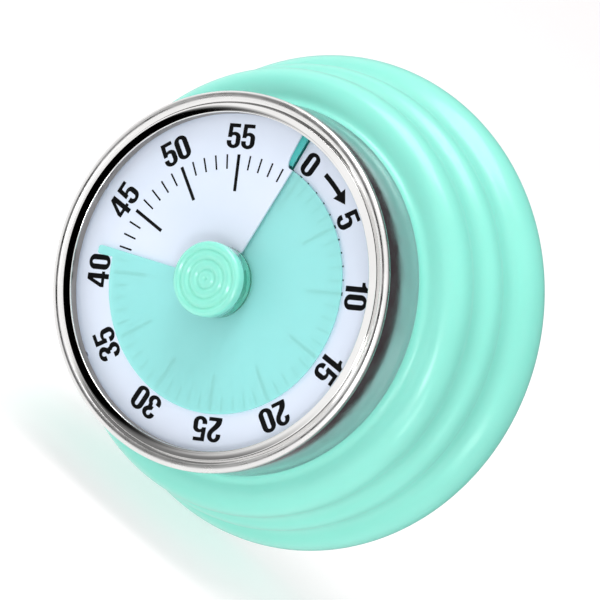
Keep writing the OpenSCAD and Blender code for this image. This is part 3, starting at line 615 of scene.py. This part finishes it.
def mint_film(name, rgb, clear):
    """Tinted acetate: a glossy sheet that lets a set share of the light straight through."""
    material, tree, shader = new_material(name, linear(*rgb), 0.22)
    tint(tree, shader, noise(tree, 35, 2), *shades(rgb, 2))
    roughen(tree, shader, noise(tree, 240, 2), 0.18, 0.27)
    see = tree.nodes.new("ShaderNodeBsdfTransparent")
    see.inputs["Color"].default_value = linear(238, 254, 252)
    mix = tree.nodes.new("ShaderNodeMixShader")
    mix.inputs["Fac"].default_value = clear
    output = tree.nodes["Material Output"]
    tree.links.new(shader.outputs["BSDF"], mix.inputs[1])
    tree.links.new(see.outputs["BSDF"], mix.inputs[2])
    tree.links.new(mix.outputs["Shader"], output.inputs["Surface"])
    return material


dial.data.materials.append(dial_white("dial white"))
film.data.materials.append(mint_film("mint film", (164, 236, 232), CLEAR))
# So thin and clear a sheet leaves no shadow on the dial just under it
film.visible_shadow = False
print("film lets %.0f%% of the light through each of its two faces" % (100 * CLEAR))

# %% [markdown]
# ## Marks and numbers
# The minute marks are printed: a long bar every five minutes and a short one for each minute. Ink
# lies on the sheet, so each mark is a very thin block that follows the dial's height. The numbers
# are drawn as outlines, straight lines and parts of ellipses, because a stock typeface would not
# have this heavy, narrow shape. A 2D curve fills an outline and its holes, and becomes a mesh.

# %% Minute marks
INK, INK_SINK = 0.03, 0.02


def blocks(name, turns, inner, outer, width):
    """A thin box for each mark, cut across at five radii so that it can follow the dial. A mark
    is as wide at every radius, so half its width over the radius gives the turn to each side."""
    n = len(turns)
    along = np.linspace(0, 1, 5)
    radii = inner[:, None] + (outer - inner)[:, None] * along[None, :]
    side = np.degrees(width[:, None] / 2 / radii)
    corner_turn = np.stack([turns[:, None] - side, turns[:, None] + side], 2)
    corner_r = np.stack([radii, radii], 2)
    base = dial_top(corner_turn, corner_r)
    low = place(corner_turn, corner_r, base - INK_SINK)
    high = place(corner_turn, corner_r, base + INK)
    verts = np.stack([low, high], 3).reshape(n, -1, 3)
    at = np.arange(20).reshape(5, 2, 2)
    a, b = at[:-1], at[1:]
    sides = [np.stack([a[:, 0, 1], a[:, 1, 1], b[:, 1, 1], b[:, 0, 1]], 1),
             np.stack([a[:, 1, 0], a[:, 0, 0], b[:, 0, 0], b[:, 1, 0]], 1),
             np.stack([a[:, 0, 0], a[:, 0, 1], b[:, 0, 1], b[:, 0, 0]], 1),
             np.stack([a[:, 1, 1], a[:, 1, 0], b[:, 1, 0], b[:, 1, 1]], 1),
             np.array([[at[0, 0, 0], at[0, 1, 0], at[0, 1, 1], at[0, 0, 1]],
                       [at[4, 0, 1], at[4, 1, 1], at[4, 1, 0], at[4, 0, 0]]])]
    one = np.vstack(sides)
    quads = (one[None] + 20 * np.arange(n)[:, None, None]).reshape(-1, 4)
    return solid_mesh(name, verts.reshape(-1, 3), quads)


LONG_FROM, SHORT_FROM, MARK_TO = 15.6, 19.4, 21.9
LONG_WIDE, SHORT_WIDE = 0.58, 0.3
# The mark and the number at 0 stand a little past it, clear of the slot
MARK_0_TURN, NUMBER_0_TURN = 1.2, 1.9
minute = np.arange(60)
long_mark = minute % 5 == 0
mark_turn = minute * 6.0
mark_turn[0] = MARK_0_TURN
# Where the dial dips at the film's mouth, the marks run right up to the cut
in_dip = mark_turn < DIP_TO - 2
marks = blocks("minute_marks", mark_turn,
               np.where(long_mark, LONG_FROM, SHORT_FROM),
               np.where(in_dip, CUT_R - 0.1, MARK_TO),
               np.where(long_mark, LONG_WIDE, SHORT_WIDE))
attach(marks, "case")
print("%d minute marks, %d of them long" % (len(minute), long_mark.sum()))

# %% Outlines of the figures, one unit high and about half a unit wide
def curve_part(cx, cy, rx, ry, start, end, steps=14):
    """Points on an ellipse, from one angle to another in degrees."""
    a = np.radians(np.linspace(start, end, steps))
    return np.stack([cx + rx * np.cos(a), cy + ry * np.sin(a)], 1)


def bend(p, q, r, s, steps=12):
    """A cubic curve through four handles: (1-t)^3 p + 3(1-t)^2 t q + 3(1-t) t^2 r + t^3 s."""
    t = np.linspace(0, 1, steps)[:, None]
    p, q, r, s = (np.array(v, float) for v in (p, q, r, s))
    return (1 - t) ** 3 * p + 3 * (1 - t) ** 2 * t * q + 3 * (1 - t) * t ** 2 * r + t ** 3 * s


def lozenge(half, low, high, corner):
    """Two half ellipses joined by straight sides, about the middle of a 0."""
    return np.vstack([curve_part(0.27, high - corner, half, corner, 0, 180),
                      curve_part(0.27, low + corner, half, corner, 180, 360)])


FIGURES = {
    "0": [lozenge(0.27, 0, 1, 0.26), lozenge(0.075, 0.145, 0.855, 0.09)],
    "1": [np.vstack([[(0.40, 0), (0.40, 1), (0.26, 1)],
                     bend((0.25, 1), (0.22, 0.88), (0.14, 0.85), (0.05, 0.84)),
                     [(0.05, 0.71), (0.205, 0.71), (0.205, 0)]])],
    "2": [np.vstack([[(0, 0), (0.52, 0), (0.52, 0.15), (0.225, 0.15)],
                     bend((0.225, 0.16), (0.27, 0.36), (0.535, 0.48), (0.535, 0.72)),
                     curve_part(0.27, 0.73, 0.265, 0.27, 0, 180),
                     [(0.005, 0.66), (0.185, 0.66)],
                     curve_part(0.27, 0.74, 0.085, 0.12, 180, 0),
                     bend((0.355, 0.72), (0.355, 0.54), (0, 0.45), (0, 0.1))])],
    "3": [np.vstack([curve_part(0.27, 0.76, 0.265, 0.24, -35, 180),
                     [(0.005, 0.70), (0.185, 0.70)],
                     curve_part(0.27, 0.765, 0.085, 0.10, 180, -75),
                     [(0.20, 0.595), (0.20, 0.455), (0.285, 0.455)],
                     curve_part(0.27, 0.25, 0.085, 0.115, 75, -180),
                     [(0.185, 0.33), (0, 0.33)],
                     curve_part(0.27, 0.25, 0.27, 0.25, 180, 410),
                     [(0.425, 0.535)]])],
    "4": [np.array([(0.30, 0), (0.48, 0), (0.48, 0.20), (0.56, 0.20), (0.56, 0.34), (0.48, 0.34),
                    (0.48, 1), (0.26, 1), (0, 0.36), (0, 0.20), (0.30, 0.20)]),
          np.array([(0.30, 0.34), (0.30, 0.76), (0.14, 0.34)])],
    "5": [np.vstack([[(0.05, 1), (0.50, 1), (0.50, 0.85), (0.205, 0.85), (0.195, 0.64)],
                     curve_part(0.31, 0.45, 0.23, 0.215, 112, 0),
                     curve_part(0.27, 0.25, 0.27, 0.25, 0, -180),
                     [(0, 0.31), (0.185, 0.31)],
                     curve_part(0.27, 0.25, 0.085, 0.11, 180, 360),
                     curve_part(0.27, 0.46, 0.085, 0.07, 0, 180),
                     [(0.185, 0.44), (0.025, 0.44)]])],
}
WIDTHS = {"0": 0.54, "1": 0.44, "2": 0.54, "3": 0.54, "4": 0.58, "5": 0.54}
print("figures drawn:", " ".join(sorted(FIGURES)))

# %% Numbers, bent onto the dial
def filled(name, loops):
    """Fills flat outlines, holes and all, as a 2D curve as thick as the ink, and returns a mesh."""
    flat = bpy.data.curves.new(name, "CURVE")
    flat.dimensions, flat.fill_mode, flat.extrude = "2D", "BOTH", INK / 2
    for loop in loops:
        line = flat.splines.new("POLY")
        line.points.add(len(loop) - 1)
        depth_and_weight = np.tile([0.0, 1.0], (len(loop), 1))
        line.points.foreach_set("co", np.hstack([loop, depth_and_weight]).ravel())
        line.use_cyclic_u = True
    holder = bpy.data.objects.new(name, flat)
    scene.collection.objects.link(holder)
    graph = bpy.context.evaluated_depsgraph_get()
    mesh = bpy.data.meshes.new_from_object(holder.evaluated_get(graph))
    bpy.data.objects.remove(holder)
    return mesh


def printed(piece_name, meshes, moves):
    """Joins flat meshes into one print: the doubled points of each are merged, then its `move`
    takes x, y and the height in the ink to a point on the dial."""
    whole = bmesh.new()
    for mesh, move in zip(meshes, moves):
        part = bmesh.new()
        part.from_mesh(mesh)
        bmesh.ops.remove_doubles(part, verts=part.verts, dist=1e-5)
        bmesh.ops.triangulate(part, faces=part.faces)
        bmesh.ops.recalc_face_normals(part, faces=part.faces)
        part.to_mesh(mesh)
        part.free()
        flat = np.empty(len(mesh.vertices) * 3)
        mesh.vertices.foreach_get("co", flat)
        mesh.vertices.foreach_set("co", (move(flat.reshape(-1, 3)) * MM).ravel())
        whole.from_mesh(mesh)
        bpy.data.meshes.remove(mesh)
    bmesh.ops.recalc_face_normals(whole, faces=whole.faces)
    result = bpy.data.meshes.new(piece_name)
    whole.to_mesh(result)
    whole.free()
    piece = bpy.data.objects.new(piece_name, result)
    scene.collection.objects.link(piece)
    return piece


NUMBER_H, NUMBER_W, NUMBER_R, GAP = 4.25, 4.85, 25.0, 0.045


def number_loops(text):
    """Sets the figures side by side and centres the group on x = 0, in millimetres."""
    loops, x = [], 0.0
    for figure in text:
        loops += [(loop + (x, 0)) * (NUMBER_W, NUMBER_H) for loop in FIGURES[figure]]
        x += WIDTHS[figure] + GAP
    return [loop - ((x - GAP) * NUMBER_W / 2, NUMBER_H / 2) for loop in loops]


def inked(turn, r, depth):
    """A point of a print on the ring of numbers: the dial's height plus its depth in the ink."""
    return place(turn, r, dial_top(turn, ON_RING) + depth + INK / 2)


def onto_dial(turn):
    """Stands a flat print on the dial at a turn, its top outwards: x runs along the tangent and y
    along the radius."""
    def move(p):
        radial, across = NUMBER_R + p[:, 1], p[:, 0]
        at = turn + np.degrees(np.arctan2(across, radial))
        return inked(at, np.hypot(radial, across), p[:, 2])
    return move


texts = [str(5 * k) for k in range(12)]
centres = np.arange(12) * 30.0
centres[0] = NUMBER_0_TURN
numbers = printed("dial_numbers", [filled("number_" + t, number_loops(t)) for t in texts],
                  [onto_dial(c) for c in centres])
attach(numbers, "case")
print("numbers:", ", ".join(texts))

# %% [markdown]
# The arrow between 0 and 5 shows which way to wind. It is a band along a circle with a pointed
# head, so its outline is written directly in turns and radii.

# %% The winding arrow
def arrow_loop(r, start, neck, tip, half, head):
    """A band of half-width `half` about radius r, then a head of half-width `head`."""
    a = np.linspace(start, neck, 16)
    edge = np.concatenate([a, [neck, tip, neck], a[::-1]])
    away = np.concatenate([np.full(16, half), [head, 0, -head], np.full(16, -half)])
    turn = np.radians(edge)
    return np.stack([(r + away) * np.sin(turn), (r + away) * np.cos(turn)], 1)


def in_place(p):
    """Takes a print drawn in place, x to the right and y to the 0 mark, onto the dial's height."""
    at = np.degrees(np.arctan2(p[:, 0], p[:, 1])) % 360
    return inked(at, np.hypot(p[:, 0], p[:, 1]), p[:, 2])


arrow_outline = arrow_loop(r=25.6, start=9.6, neck=19.2, tip=24.2, half=0.42, head=1.35)
arrow = printed("winding_arrow", [filled("arrow", [arrow_outline])], [in_place])
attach(arrow, "case")
print("arrow of %d points" % len(arrow_outline))

# %% Printing ink
def printing_ink(name):
    """Matt black ink that never covers quite evenly."""
    material, tree, shader = new_material(name, linear(5, 5, 6), 0.6)
    shader.inputs["Specular IOR Level"].default_value = 0.12
    tint(tree, shader, noise(tree, 400, 3), linear(2, 2, 3), linear(9, 10, 12))
    roughen(tree, shader, noise(tree, 900, 2), 0.5, 0.7)
    return material


ink = printing_ink("black ink")
prints = (marks, numbers, arrow)
for piece in prints:
    piece.data.materials.append(ink)
print("%d prints in %s" % (len(prints), ink.name))

# %% [markdown]
# ## The knob
# The cap is moulded in the body's mint with three ripples round a small dimple, to grip with one
# finger. Its face is a height for each radius: a row of narrow grooves from a cosine raised to a
# power, which keeps the lobes broad and round. Under it stands a clear acrylic barrel.

# %% The cap and the barrel
RIPPLE_STEP, RIPPLE_DEPTH, RIPPLE_POWER = 0.26 * CAP_R, 0.3, 2.2
CAP_EDGE, BACK_EDGE = 0.7, 0.15
STEM_R, STEM_LONG, SOCKET_R, SOCKET_DEEP = 3.4, 1.3, 2.05, 0.8
BARREL_WALL, BARREL_EDGE = 1.2, 0.2


def cap_face(r):
    """Top of the cap, less a groove wherever the cosine of the radius over the step peaks."""
    wave = 0.5 + 0.5 * np.cos(2 * np.pi * r / RIPPLE_STEP)
    return CAP_TOP - RIPPLE_DEPTH * wave ** RIPPLE_POWER


def cap_section():
    """From the middle of the face out over the edge, down the side, in along the back to the stem
    that stands in the barrel, and into the socket for the arbor's end."""
    edge_r = CAP_R - CAP_EDGE
    r = np.linspace(0, edge_r, 70)
    face = np.stack([r, np.where(r < edge_r - 0.1, cap_face(r), CAP_TOP)], 1)
    back, stem_end, socket_end = BARREL_TO, BARREL_TO - STEM_LONG, BARREL_TO + SOCKET_DEEP
    return np.vstack([
        face[:-1],
        arc((edge_r, CAP_TOP - CAP_EDGE), CAP_EDGE, 88, 0, 10),
        arc((CAP_R - BACK_EDGE, back + BACK_EDGE), BACK_EDGE, 0, -90, 4),
        [(STEM_R, back), (STEM_R, stem_end), (SOCKET_R, stem_end), (SOCKET_R, socket_end),
         (0, socket_end)],
    ])


cap = turned("knob_face", cap_section(), steps=160)
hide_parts("knob_cap")
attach(cap, "knob")
barrel_profile = tube_section(BARREL_R, BARREL_R - BARREL_WALL, BARREL_FROM, BARREL_TO,
                              BARREL_EDGE, 5)
barrel = turned("clear_barrel", barrel_profile, steps=128)
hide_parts("knob_barrel")
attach(barrel, "knob")
print("knob: cap radius %.1f, barrel %.1f to %.1f mm" % (CAP_R, BARREL_FROM, BARREL_TO))

# %% [markdown]
# The cap is glossier than the body. The barrel is acrylic: it transmits light, with an index of
# refraction of 1.49, and it has the faint haze and fine rubs of a handled part.

# %% Knob plastic and clear acrylic
ACRYLIC_IOR = 1.49
knob_mint = mint_plastic("knob plastic", (142, 230, 210), rough=0.22, coat=0.6)
cap.data.materials.append(knob_mint)


def acrylic(name):
    """Clear plastic with a green cast and an uneven polish."""
    material, tree, shader = new_material(name, linear(205, 240, 232), 0.05)
    shader.inputs["Transmission Weight"].default_value = 1.0
    shader.inputs["IOR"].default_value = ACRYLIC_IOR
    tint(tree, shader, noise(tree, 120, 2), linear(196, 236, 226), linear(214, 244, 238))
    roughen(tree, shader, noise(tree, 500, 3), 0.03, 0.1)
    grain(tree, shader, noise(tree, 350, 2), 0.01, 0.15)
    return material


barrel.data.materials.append(acrylic("clear acrylic"))
print("acrylic index of refraction %.2f" % ACRYLIC_IOR)

# %% [markdown]
# ## Finishes for the frame's own pieces
# The movement, the back and the screws keep their CAD shapes, which are right as they are. Each
# gets the finish of its record slot here, by name, with the same helpers.

# %% One finish for each slot
def rubber(name):
    """Matt black rubber with a mottled bloom."""
    material, tree, shader = new_material(name, linear(38, 41, 43), 0.75)
    tint(tree, shader, noise(tree, 180, 4), linear(30, 32, 34), linear(50, 53, 55))
    roughen(tree, shader, noise(tree, 600, 3), 0.65, 0.85)
    grain(tree, shader, noise(tree, 2200, 3), 0.02, 0.5)
    return material


FINISHES = {
    "mint_plastic": mint,
    "knob_plastic": knob_mint,
    # The seat's teal is the body's mint made darker: painted shade of the deep slot
    "teal_plastic": mint_plastic("slot teal, painted shade", (72, 196, 190), rough=0.38, coat=0.1),
    "dark_rubber": rubber("dark rubber"),
    "magnet_metal": metal("magnet nickel", (176, 174, 168), 0.28, drift=6, scratch=0.01),
    "polished_steel": metal("turned steel", (206, 206, 204), 0.2),
    "zinc_steel": metal("zinc plated steel", (190, 196, 204), 0.3, drift=8, scratch=0.012,
                        scale=420),
    "spring_steel": metal("blued spring steel", (98, 104, 120), 0.26, drift=10),
    "bell_steel": metal("nickelled bell steel", (214, 210, 200), 0.14),
    "movement_brass": metal("rolled brass", (214, 178, 96), 0.24, drift=8, scratch=0.01,
                            scale=320),
}
slot_of = {p["node"]: p["material_slot"] for p in frame["record"]["subparts"]}
finished = 0
for node, piece in frame["nodes"].items():
    finish = FINISHES.get(slot_of[node])
    if finish is not None:
        piece.data.materials.clear()
        piece.data.materials.append(finish)
        finished += 1
step.data.materials.append(FINISHES["teal_plastic"])
print("%d frame pieces finished" % finished)

# %% [markdown]
# ## Floor and light
# The timer stands on its rim on a plain pale floor that curves up behind it, so there is no
# horizon. The floor glows a little, as paper does on a light table, which keeps shadows soft. Steel
# only shows what is round it, so mirrors see a sky of their own: white, with a black card in front,
# a grey one above it, darkness behind and a strip light at the right.

# %% Floor, in metres
FLOOR_REACH, BEND_FROM, BEND_R = 3.0, 1.2, 0.8
FLOOR_GLOW = 0.56


def floor_sheet():
    """A sheet that is level in front and rises behind along a quarter of a circle."""
    a = np.linspace(0, np.pi / 2, 24)
    run = np.concatenate([[-FLOOR_REACH], BEND_FROM + BEND_R * np.sin(a), [BEND_FROM + BEND_R]])
    rise = np.concatenate([[0.0], BEND_R - BEND_R * np.cos(a), [FLOOR_REACH]])
    across = np.linspace(-FLOOR_REACH, FLOOR_REACH, 3)
    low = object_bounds()[0][2]
    x, y = np.meshgrid(across, run)
    verts = np.stack([x, y, rise[:, None] + low + 0 * x], -1).reshape(-1, 3)
    quads = grid_quads(np.arange(len(verts)).reshape(x.shape))
    mesh = bpy.data.meshes.new("floor")
    mesh.from_pydata(verts.tolist(), [], quads.tolist())
    mesh.polygons.foreach_set("use_smooth", np.ones(len(mesh.polygons), bool))
    piece = bpy.data.objects.new("floor", mesh)
    scene.collection.objects.link(piece)
    return piece


floor = floor_sheet()
paper, tree, shader = new_material("white paper", (0.5, 0.47, 0.475, 1), 0.9)
tint(tree, shader, noise(tree, 3, 2), (0.49, 0.46, 0.465, 1), (0.51, 0.48, 0.485, 1))
shader.inputs["Emission Color"].default_value = (1, 1, 1, 1)
shader.inputs["Emission Strength"].default_value = FLOOR_GLOW
floor.data.materials.append(paper)
# Mirrors look past the floor at the sky
floor.visible_glossy = False
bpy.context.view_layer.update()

# %% Sky and lamps
world = bpy.data.worlds.new("studio")
world.use_nodes = True
scene.world = world
sky = world.node_tree


def glow(toward, low, high, outside, inside):
    """A brightness for each direction of the sky: the dot product with `toward`, which is the
    cosine of the angle to it, mapped smoothly from `outside` at `low` to `inside` at `high`."""
    where = sky.nodes.new("ShaderNodeTexCoord")
    dot = sky.nodes.new("ShaderNodeVectorMath")
    dot.operation = "DOT_PRODUCT"
    dot.inputs[1].default_value = Vector(toward).normalized()
    ramp = sky.nodes.new("ShaderNodeMapRange")
    ramp.interpolation_type = "SMOOTHSTEP"
    ranges = ("From Min", low), ("From Max", high), ("To Min", outside), ("To Max", inside)
    for key, value in ranges:
        ramp.inputs[key].default_value = value
    sky.links.new(where.outputs["Generated"], dot.inputs[0])
    sky.links.new(dot.outputs["Value"], ramp.inputs["Value"])
    return ramp.outputs["Result"]


def combined(kind, a, b):
    """One number from two, by an operation of the Math node."""
    node = sky.nodes.new("ShaderNodeMath")
    node.operation = kind
    sky.links.new(a, node.inputs[0])
    sky.links.new(b, node.inputs[1])
    return node.outputs["Value"]


def chosen(factor, a, b):
    """A Mix node: a where the factor is 0, b where it is 1. Either may be a plain number."""
    node = sky.nodes.new("ShaderNodeMix")
    sky.links.new(factor, node.inputs["Factor"])
    for key, value in (("A", a), ("B", b)):
        if isinstance(value, float):
            node.inputs[key].default_value = value
        else:
            sky.links.new(value, node.inputs[key])
    return node.outputs["Result"]


ray = sky.nodes.new("ShaderNodeLightPath")
black_card = glow((-0.15, -0.98, -0.1), low=0.90, high=0.95, outside=1.15, inside=0.0)
grey_card = glow((-0.6, -0.65, 0.45), low=0.78, high=0.92, outside=1.0, inside=0.2)
strip_light = glow((0.84, -0.43, -0.2), low=0.985, high=0.995, outside=0.0, inside=7.0)
dark_behind = glow((0.3, 0.92, 0.2), low=0.2, high=0.85, outside=1.0, inside=0.06)
cards = combined("MULTIPLY", black_card, combined("MULTIPLY", grey_card, dark_behind))
mirrored = combined("ADD", cards, strip_light)
# Matt surfaces are lit by a plainer sky, brightest in front, and the background is pure white
front_fill = glow((0, -1, 0), low=-0.3, high=0.9, outside=0.45, inside=0.75)
studio_sky = chosen(ray.outputs["Is Glossy Ray"], front_fill, mirrored)
strength = chosen(ray.outputs["Is Camera Ray"], studio_sky, 1.0)
sky.links.new(strength, sky.nodes["Background"].inputs["Strength"])
sky.nodes["Background"].inputs["Color"].default_value = (1, 1, 1, 1)


def lamp(name, place_at, aim, size, watts):
    """A square area light, in metres, turned so that its -Z points at the aim."""
    data = bpy.data.lights.new(name, "AREA")
    data.shape, data.size, data.energy = "SQUARE", size, watts
    light = bpy.data.objects.new(name, data)
    light.location = place_at
    light.rotation_euler = (Vector(aim) - Vector(place_at)).to_track_quat("-Z", "Y").to_euler()
    scene.collection.objects.link(light)
    return light


# A small lamp in front, at the right, throws the knob's shadow on the dial. A large one above
# throws the timer's shadow on the floor.
key = lamp("key", place_at=(0.28, -0.45, 0.0), aim=(0, -0.04, 0), size=0.1, watts=0.45)
top = lamp("top", place_at=(-0.15, -0.25, 1.05), aim=(0, -0.02, 0), size=0.7, watts=8)
print("lamps:", key.name, "and", top.name)

# %% [markdown]
# ## Camera
# The camera stands in front, a little to the right and above, with a long lens. It is rolled so
# that the 0 mark leans to the right. The lens is given in frame widths, and the camera looks a
# little to the right of the dial's centre and below it, to have the whole body in view.

# %% Camera
AZIMUTH, ELEVATION, ROLL, DISTANCE = 27.56, 11.85, 33.44, 0.6329
FRAME_MM, FOCAL_FRAMES = 36, 6.22
AIM_H, AIM_RIGHT, AIM_DOWN = 0.0387, 0.020132, 0.004636
az, el, roll = np.radians([AZIMUTH, ELEVATION, ROLL])
toward = Vector((math.sin(az) * math.cos(el), -math.cos(az) * math.cos(el), math.sin(el)))
dial_centre = Vector((0, -AIM_H, 0))
right = (-toward).cross(Vector((0, 0, 1))).normalized()
up = right.cross(-toward)
cos_roll, sin_roll = math.cos(roll), math.sin(roll)
right, up = right * cos_roll + up * sin_roll, up * cos_roll - right * sin_roll
look = (-toward + right * AIM_RIGHT - up * AIM_DOWN).normalized()
right = (right - look * right.dot(look)).normalized()
up = right.cross(look)
camera_data = bpy.data.cameras.new("camera")
camera_data.sensor_width = FRAME_MM
camera_data.lens = FRAME_MM * FOCAL_FRAMES
camera = bpy.data.objects.new("camera", camera_data)
facing = Matrix((right, up, -look)).transposed()
camera.matrix_world = Matrix.Translation(dial_centre + toward * DISTANCE) @ facing.to_4x4()
scene.collection.objects.link(camera)
scene.camera = camera
print("lens %.0f mm" % camera_data.lens)
